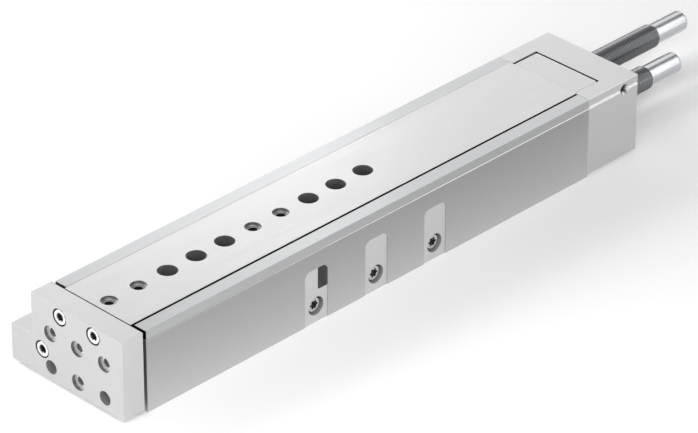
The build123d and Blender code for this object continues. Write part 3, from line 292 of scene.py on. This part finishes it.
# The brush leaves lines along X, which draw its highlights out along the side. They are finer than
# the photograph's frame shows, so they are drawn half a millimetre wide. From FOOT_HEIGHT down the
# side's colour turns paler, to match the photograph: a painted reflection of the white floor.
# Here and on the other pieces, a patch with a tone of its own is matched to the photograph. Most of
# these tones are painted shade or painted highlight, and for the others the reason given is a likely one.
FOOT_HEIGHT = 0.04
SIDE_POCKET_FLOORS = ((-52.5, 32.9, -1.0), (52.5, 33.1, 33.0))
PLUG_BORES = ((-52.5, 27.0, 2.0), (52.5, 32.9, 16.0))
LEDGE_UNDER_RAILS = ((-170.0, 32.7, 42.35), (170.0, 33.5, 43.1))
drawn, tree, shader = finish("drawn_anodised_aluminium", "#A6A6A6", roughness=0.32, metallic=0.8)
height = add(tree, "ShaderNodeSeparateXYZ", {0: on_piece(tree)}).outputs["Z"]
# Below FOOT_HEIGHT the side is painted paler: a painted reflection of the floor.
foot = add(tree, "ShaderNodeMapRange", {"Value": height, "From Min": FOOT_HEIGHT, "From Max": 0.0})
blend(tree, shader.inputs["Base Color"], foot.outputs[0], linear("#C6C6C6"))
lines = grain(tree, size=(60.0, 0.5, 0.5))
vary_sheen(tree, shader, lines, smoothest=0.29, roughest=0.35)
cut_relief(tree, shader, lines, depth=0.0003, edge_radius=0.2)
# The pockets' floors are left by the cutter and matte, so they look paler than the brushed side.
tint(tree, shader, "#D2D2D2", SIDE_POCKET_FLOORS)
blend(tree, shader.inputs["Roughness"], within(tree, *SIDE_POCKET_FLOORS), 0.45)
# The plugs' bores have a dull anodised wall, an even grey ring round each plug.
tint(tree, shader, "#A4A4A4", PLUG_BORES)
blend(tree, shader.inputs["Metallic"], within(tree, *PLUG_BORES), 0.0)
# The ledge is painted paler and fully metallic: a painted highlight, a thin bright line between the side
# and the rail.
tint(tree, shader, "#C8C8C8", LEDGE_UNDER_RAILS)
blend(tree, shader.inputs["Metallic"], within(tree, *LEDGE_UNDER_RAILS), 1.0)
dress(drawn, "housing")

# Guide rails: ground steel angles bonded to the housing's walls, a little bluer than the aluminium.
# The stone runs along them and leaves a straight grain, drawn coarser than the real one. Their inner
# flanks and front ends are painted near black: painted shade for the dark gaps beside the slide and
# behind the yoke.
GAP_SHADE = "#2A2A2A"
RAIL_INNER_FLANKS = ((-170.0, 20.0, 30.0), (170.0, 25.2, 47.9))
RAIL_FRONT_ENDS = ((-170.0, 20.0, 30.0), (-162.4, 34.0, 47.95))
ground, tree, shader = finish("ground_rail_steel", "#B6B7B8", roughness=0.33)
lines = grain(tree, size=(40.0, 0.4, 0.4), seed=3.0)
vary_sheen(tree, shader, lines, smoothest=0.29, roughest=0.35)
cut_relief(tree, shader, lines, depth=0.0003, edge_radius=0.2)
tint(tree, shader, GAP_SHADE, RAIL_INNER_FLANKS, RAIL_FRONT_ENDS)
dress(ground, "guide_rail_left", "guide_rail_right")

# Ball cages and balls: a stamped brass strip on each side holds polished steel balls. The press
# leaves soft blotches on the brass. They show only when the slide is run out.
brass, tree, shader = finish("stamped_cage_brass", "#C9A868", roughness=0.35)
vary_sheen(tree, shader, grain(tree, size=(3.0, 3.0, 3.0), seed=5.0), smoothest=0.28, roughest=0.45)
dress(brass, "ball_cage_left", "ball_cage_right")
# A faint haze keeps the balls from looking like glass.
balls, tree, shader = finish("polished_ball_steel", "#CBCCCE", roughness=0.07)
vary_sheen(tree, shader, grain(tree, size=(1.5, 1.5, 1.5), seed=6.0), smoothest=0.05, roughest=0.1)
dress(balls, "guide_balls_left", "guide_balls_right")

# Slide plate: hardened steel, surface ground along its length and lapped to a satin top, which
# mirrors the studio softly. Its grain is drawn coarser than the real one, half a millimetre wide.
# Its flanks and its front edge border the same dark gaps and get the same painted shade, near black.
SLIDE_FLANKS = ((-170.0, 24.3, 20.0), (170.0, 30.0, 48.64))
SLIDE_FRONT_EDGE = ((-170.0, 0.0, 20.0), (-164.5, 30.0, 49.0))
SMALL_HOLE_WALLS = (
    ((-163.0, 0.0, 20.0), (-130.0, 5.7, 48.5)),
    ((-63.0, 0.0, 20.0), (-30.0, 5.7, 48.5)),
)
SMALL_HOLE_SHELVES = (
    ((-163.0, 0.0, 46.5), (-130.0, 4.4, 46.7)),
    ((-63.0, 0.0, 46.5), (-30.0, 4.4, 46.7)),
)
satin, tree, shader = finish("satin_ground_slide_steel", "#D6D6D6", roughness=0.4)
lines = grain(tree, size=(30.0, 0.5, 0.5), seed=8.0)
vary_sheen(tree, shader, lines, smoothest=0.38, roughest=0.44)
cut_relief(tree, shader, lines, depth=0.0003, edge_radius=0.15)
tint(tree, shader, GAP_SHADE, SLIDE_FLANKS, SLIDE_FRONT_EDGE)
# The four small stepped holes get painted shade, a mid grey, on their walls, and a painted highlight on
# the shelf under each mouth.
tint(tree, shader, "#868686", *SMALL_HOLE_WALLS)
tint(tree, shader, "#E4E4E4", *SMALL_HOLE_SHELVES)
dress(satin, "slide_plate")

# Yoke plate, end block and rear cover: milled from aluminium plate, tumbled to an even matte and
# anodised clear, so they show no direction and only a speckle. The real speckle is too fine to show,
# so it is drawn 0.7 mm wide.
YOKE_MOUTH_WALLS = (
    ((-178.85, 0.0, 3.0), (-176.95, 6.0, 48.3)),
    ((-178.85, 0.0, 16.0), (-176.95, 32.0, 48.3)),
)
YOKE_MOUTH_SHELVES = ((-176.95, 0.0, 3.0), (-176.85, 33.0, 48.3))
YOKE_TOP_FRONT_EDGE = ((-179.1, 0.0, 48.45), (-178.77, 34.0, 48.8))
YOKE_ARM_FRONT_EDGE = ((-179.1, 33.7, 22.95), (-178.77, 50.0, 23.3))
YOKE_TOP_REAR_EDGE = ((-165.3, 0.0, 48.4), (-164.9, 34.0, 48.8))
END_BLOCK_FLANKS = ((161.9, 22.3, 30.0), (181.7, 23.3, 47.6))
END_BLOCK_BACK = ((181.0, 0.0, 30.0), (181.7, 23.3, 48.0))
COVER_GROOVE = ((160.0, 32.3, 42.05), (205.0, 33.25, 43.0))
COVER_PIN_HOLES = ((189.1, 20.0, 40.9), (193.3, 33.2, 45.1))
milled, tree, shader = finish("tumbled_anodised_aluminium", "#CBCBCB", roughness=0.32, metallic=0.61)
speckle = grain(tree, size=(0.7, 0.7, 0.7), seed=11.0, detail=3.0)
vary_sheen(tree, shader, speckle, smoothest=0.28, roughest=0.36)
cut_relief(tree, shader, speckle, depth=0.001, edge_radius=0.1)
# The yoke's stepped holes get painted shade, a dark grey, on the walls of their mouths, and a painted
# highlight, white, on the shelves behind them.
tint(tree, shader, "#747474", *YOKE_MOUTH_WALLS)
tint(tree, shader, "#FFFFFF", YOKE_MOUTH_SHELVES)
# Its broken edges are painted in darker greys: painted shade that keeps a bright line off the front edges
# and draws a dark shadow line behind.
tint(tree, shader, "#A5A5A5", YOKE_TOP_FRONT_EDGE, YOKE_ARM_FRONT_EDGE)
tint(tree, shader, "#4A4A4A", YOKE_TOP_REAR_EDGE)
# The end block's sides and back stand close to the cover's pocket: painted shade draws thin dark lines
# round its top.
tint(tree, shader, "#5A5A5A", END_BLOCK_FLANKS)
tint(tree, shader, GAP_SHADE, END_BLOCK_BACK)
# The cover's groove is painted paler and fully metallic: a painted highlight that carries on the bright
# line of the housing's ledge. Each side's pin hole, which lies across it, is painted dark: painted shade.
tint(tree, shader, "#BEBEBE", COVER_GROOVE)
blend(tree, shader.inputs["Metallic"], within(tree, *COVER_GROOVE), 1.0)
tint(tree, shader, "#606060", COVER_PIN_HOLES)
dress(milled, "yoke_plate", "slide_end_block", "rear_cover", "cylinder_end_cap", "piston")

# Screws, plugs and nuts: cold-headed steel, bright zinc plated. The plating gives their heads
# a lively haze, and the stamped sockets are painted darker than the heads: painted shade.
SCREW_SOCKETS = (
    ((-178.7, 0.0, 0.0), (-160.0, 50.0, 50.0)),
    ((170.0, 0.0, 0.0), (180.8, 50.0, 50.0)),
    ((190.0, 0.0, 0.0), (201.7, 50.0, 50.0)),
)
PLUG_SOCKETS = ((-52.5, 20.0, 0.0), (52.5, 31.3, 16.0))
PLUG_HEADS = ((-52.5, 31.3, 0.0), (52.5, 31.6, 16.0))
zinc, tree, shader = finish("bright_zinc_plated_steel", "#EFEFED", roughness=0.24)
haze = grain(tree, size=(0.8, 0.8, 0.8), seed=13.0)
vary_sheen(tree, shader, haze, smoothest=0.18, roughest=0.32)
cut_relief(tree, shader, haze, depth=0.001, edge_radius=0.2)
tint(tree, shader, "#7A7A7A", *SCREW_SOCKETS, PLUG_SOCKETS)
tint(tree, shader, "#C8C8C8", PLUG_HEADS)
dress(zinc, "yoke_screws", "cover_screws", "end_block_screws", "side_plugs", "stop_block_screw",
      "retract_lock_nut", "piston_nut")

# Rods, dowels and stops: ground silver steel, with faint rings round them, and hard chrome, polished
# to a mirror with a trace of haze, where a seal runs. They sit inside the table.
rod, tree, shader = finish("ground_silver_steel", "#BFC0C2", roughness=0.22)
vary_sheen(tree, shader, grain(tree, size=(0.4, 8.0, 8.0), seed=15.0), smoothest=0.18, roughest=0.28)
dress(rod, "stop_rod", "stop_block", "yoke_dowels", "rod_guide_ring")
chrome, tree, shader = finish("hard_chrome_rod", "#D5D6D9", roughness=0.08)
vary_sheen(tree, shader, grain(tree, size=(2.0, 2.0, 2.0), seed=16.0), smoothest=0.06, roughest=0.12)
dress(chrome, "piston_rod", "retract_plunger", "advance_plunger")

# Shock absorber barrels: turned steel, satin chromed, fixed behind the threaded sleeves. The chrome
# is an even satin, which draws the studio out into soft bands along each barrel.
barrel, tree, shader = finish("satin_chrome_barrel", "#CCCED1", roughness=0.2, metallic=0.7)
satin_pits = grain(tree, size=(0.7, 0.7, 0.7), seed=18.0)
vary_sheen(tree, shader, satin_pits, smoothest=0.24, roughest=0.27)
cut_relief(tree, shader, satin_pits, depth=0.0003, edge_radius=0.8)
dress(barrel, "retract_absorber_barrel", "advance_absorber_barrel")

# Shock absorber sleeves and the round lock nut: steel with a fine M14 x 1 thread along its whole
# length, rolled, chamfered at both ends and blackened in a hot salt bath to a dark grey sheen.
THREAD_PITCH = 0.001
THREAD_DEPTH = 0.00042
FLANK_STEEPNESS = 1.25
CREST_CUT = 0.1
THREAD_STEPS_PER_TURN = 6
THREAD_STEPS_ROUND = 48
END_CHAMFER = 0.0011
BORE_RADIUS = 0.0056
NOSE_LENGTH = 0.003
PLUNGER_HOLE_RADIUS = 0.0021


def closed_grid(name, points):
    """A mesh of rows of points joined as quads. Each row closes on itself, and the last row is
    joined to the first, so the skin has no edge."""
    rows, columns = points.shape[:2]
    row = np.arange(rows)[:, None]
    column = np.arange(columns)[None, :]
    next_row = (row + 1) % rows
    next_column = (column + 1) % columns
    quads = np.stack([
        row * columns + column,
        next_row * columns + column,
        next_row * columns + next_column,
        row * columns + next_column,
    ], axis=-1).reshape(-1, 4)
    mesh = bpy.data.meshes.new(name)
    mesh.from_pydata(points.reshape(-1, 3), [], quads)
    piece = bpy.data.objects.new(name, mesh)
    scene.collection.objects.link(piece)
    return piece


def threaded_sleeve(name, start, end, axis_y, axis_z, outer):
    """A tube along X with a helical thread outside and a nose with a hole for the plunger. The outer
    radius is the crest radius less the thread's depth times a triangle wave of (distance / pitch -
    angle / full turn), steepened and then cut flat at crest and root. Both ends are cut back by a
    cone, so the thread runs out there. The rows go on from the rear through the bore to the nose."""
    count = int(round((end - start) / THREAD_PITCH * THREAD_STEPS_PER_TURN)) + 1
    x = np.linspace(start, end, count)[:, None]
    turn = np.linspace(0.0, 1.0, THREAD_STEPS_ROUND, endpoint=False)[None, :]
    phase = (x / THREAD_PITCH - turn) % 1.0
    wave = np.clip(FLANK_STEEPNESS * np.abs(2.0 * phase - 1.0) - CREST_CUT, 0.0, 1.0)
    cone = outer - END_CHAMFER + np.minimum(x - start, end - x)
    radius = np.minimum(outer - THREAD_DEPTH * wave, cone)
    bore = [
        (end, BORE_RADIUS),
        (start + NOSE_LENGTH, BORE_RADIUS),
        (start + NOSE_LENGTH, PLUNGER_HOLE_RADIUS),
        (start, PLUNGER_HOLE_RADIUS),
    ]
    whole_row = np.ones((1, THREAD_STEPS_ROUND))
    radius = np.vstack([radius] + [whole_row * size for _, size in bore])
    x = np.vstack([x * whole_row] + [whole_row * place for place, _ in bore])
    angle = turn * 2.0 * math.pi
    points = np.stack([x, axis_y + radius * np.cos(angle), axis_z + radius * np.sin(angle)], axis=-1)
    piece = closed_grid(name, points)
    # The rows wind inwards, so the faces are turned to point out.
    piece.data.flip_normals()
    return piece


# A pale and a darker grey follow each other along the sleeve: painted highlight and shade of the thread's
# crests and roots. The real thread is too fine to show in the photograph's frame, so the tones have twice
# its pitch.
TONE_PITCH = 2 * THREAD_PITCH
black, tree, shader = finish("black_oxide_steel", "#8B8C8F", roughness=0.28, metallic=0.6)
along = add(tree, "ShaderNodeSeparateXYZ", {0: on_piece(tree)}).outputs["X"]
turns = add(tree, "ShaderNodeMath", {0: along, 1: 2 * math.pi / TONE_PITCH}, operation="MULTIPLY")
wave = add(tree, "ShaderNodeMath", {0: turns.outputs[0]}, operation="SINE")
root = add(tree, "ShaderNodeMapRange", {"Value": wave.outputs[0], "From Min": -1.0, "From Max": 1.0})
blend(tree, shader.inputs["Base Color"], root.outputs[0], linear("#76777A"))
vary_sheen(tree, shader, grain(tree, size=(4.0, 4.0, 4.0), seed=20.0), smoothest=0.28, roughest=0.31)
dress(black, "advance_lock_nut")
for name, body in (("advance_absorber_sleeve", "slide"), ("retract_absorber_sleeve", "housing")):
    low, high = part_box(name)
    middle_y = (low[1] + high[1]) / 2
    middle_z = (low[2] + high[2]) / 2
    outer = (high[1] - low[1]) / 2
    sleeve = threaded_sleeve(name.replace("sleeve", "thread"), low[0], high[0], middle_y, middle_z, outer)
    sleeve.data.materials.append(black)
    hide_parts(name)
    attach(sleeve, body)

# Seals, bumpers and the magnet: moulded black nitrile rubber and a plastic-bonded ring, with a
# dull, slightly porous sheen. The rod's guide is a turned bronze bush with fine rings round it.
rubber, tree, shader = finish("moulded_nitrile_rubber", "#1B1B1C", roughness=0.55, metallic=0.0)
vary_sheen(tree, shader, grain(tree, size=(0.3, 0.3, 0.3), seed=22.0), smoothest=0.5, roughest=0.62)
dress(rubber, "rod_seal", "rod_wiper", "guide_o_ring", "end_cap_o_ring", "plug_seals", "piston_seals",
      "piston_bumpers", "piston_magnet")
bronze, tree, shader = finish("turned_bearing_bronze", "#B08D57", roughness=0.3)
vary_sheen(tree, shader, grain(tree, size=(0.3, 20.0, 20.0), seed=24.0), smoothest=0.24, roughest=0.36)
dress(bronze, "rod_guide")
